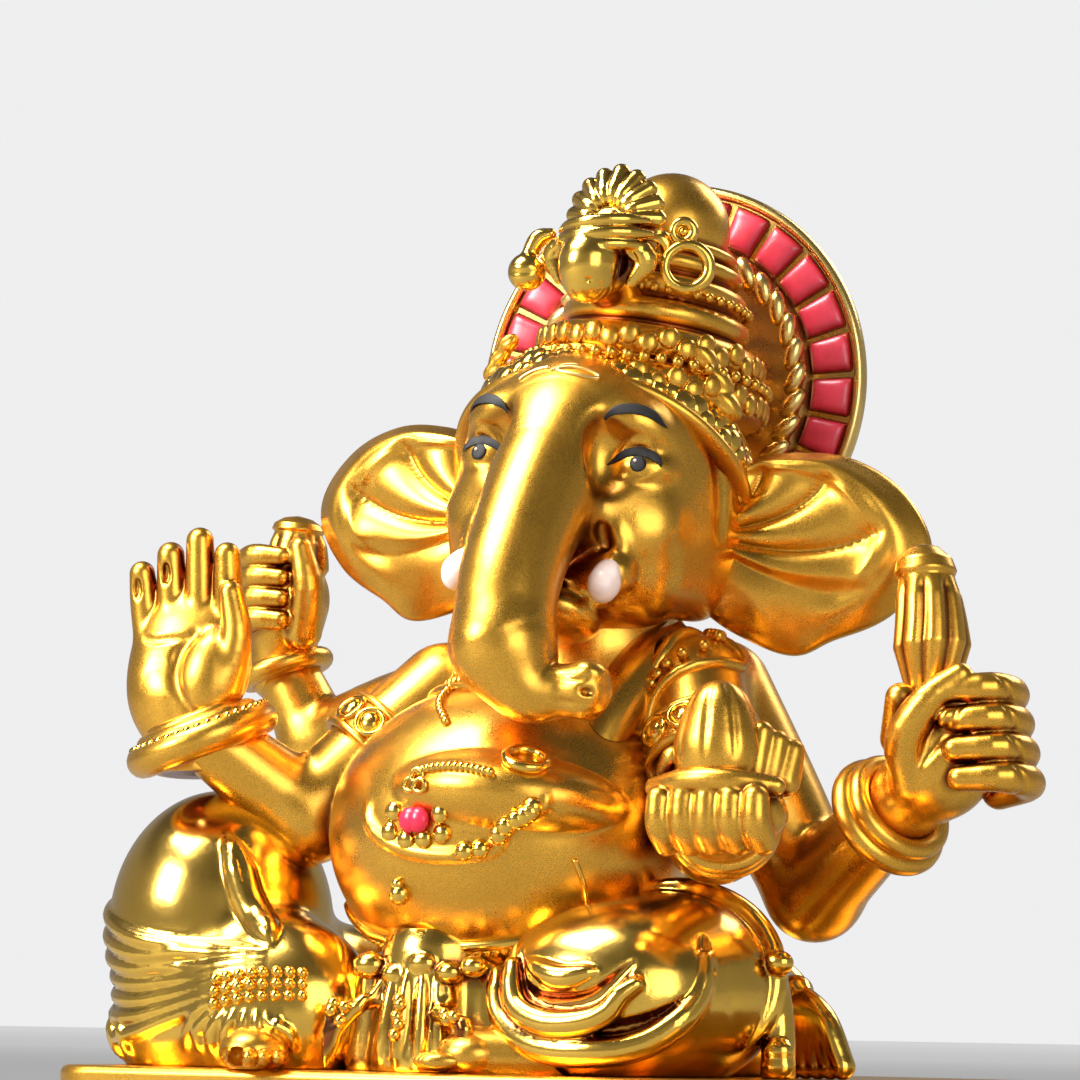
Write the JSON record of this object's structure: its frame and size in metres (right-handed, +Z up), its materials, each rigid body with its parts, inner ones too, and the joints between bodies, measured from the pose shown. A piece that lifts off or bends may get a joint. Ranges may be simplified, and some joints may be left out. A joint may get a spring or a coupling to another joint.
{
  "type": "seated elephant-headed deity figurine",
  "caption": "Small gold figurine of a seated four-armed elephant-headed deity with a crown, a halo with red cells and a plain rectangular plinth.",
  "frame": {"origin": "centre of the plinth's underside", "axes": "+Z up, -Y the way the figure faces, +X towards the figure's own left"},
  "size_m": [0.094, 0.0602, 0.0994],
  "materials": {
    "gold_satin": "satin metallic gold paint with fine flake",
    "gold_bright": "polished gold lacquer",
    "red_enamel": "translucent red enamel with pink highlights",
    "red_stone": "glossy red stone",
    "white_paint": "glossy off-white paint"
  },
  "bodies": {
    "root": {"apron_pleats": "gold_bright", "back_hair": "gold_satin", "belly_garland": "gold_satin", "cloth_tail": "gold_bright", "crown_band": "gold_satin", "crown_cap": "gold_satin", "crown_crest": "gold_satin", "halo_cells": "red_enamel", "halo_disc": "gold_satin", "halo_rim": "gold_satin", "halo_rope": "gold_satin", "head": "gold_satin", "hips": "gold_bright", "left_back_bangle": "gold_satin", "left_back_forearm": "gold_bright", "left_back_hand": "gold_satin", "left_back_upper_arm": "gold_satin", "left_bud": "gold_satin", "left_ear": "gold_satin", "left_foot": "gold_satin", "left_front_armlet": "gold_satin", "left_front_armlet_stones": "gold_satin", "left_front_bangle": "gold_satin", "left_front_forearm": "gold_satin", "left_front_hand": "gold_satin", "left_front_upper_arm": "gold_satin", "left_leg": "gold_bright", "left_scroll": "gold_satin", "left_temple_leaf": "gold_satin", "left_tusk": "white_paint", "neck_collar": "gold_satin", "pendant_flower": "gold_satin", "pendant_gem": "red_stone", "plinth": "gold_satin", "right_back_bangle": "gold_satin", "right_back_forearm": "gold_satin", "right_back_hand": "gold_satin", "right_back_upper_arm": "gold_satin", "right_bud": "gold_satin", "right_ear": "gold_satin", "right_foot": "gold_satin", "right_front_armlet": "gold_satin", "right_front_armlet_stones": "gold_satin", "right_front_bangle": "gold_satin", "right_front_forearm": "gold_satin", "right_front_hand": "gold_satin", "right_front_upper_arm": "gold_satin", "right_leg": "gold_bright", "right_scroll": "gold_satin", "right_temple_leaf": "gold_satin", "right_tusk": "white_paint", "shoulder_sash": "gold_satin", "sweet": "gold_satin", "torso": "gold_satin", "waist_belt": "gold_bright"}
  },
  "joints": []
}
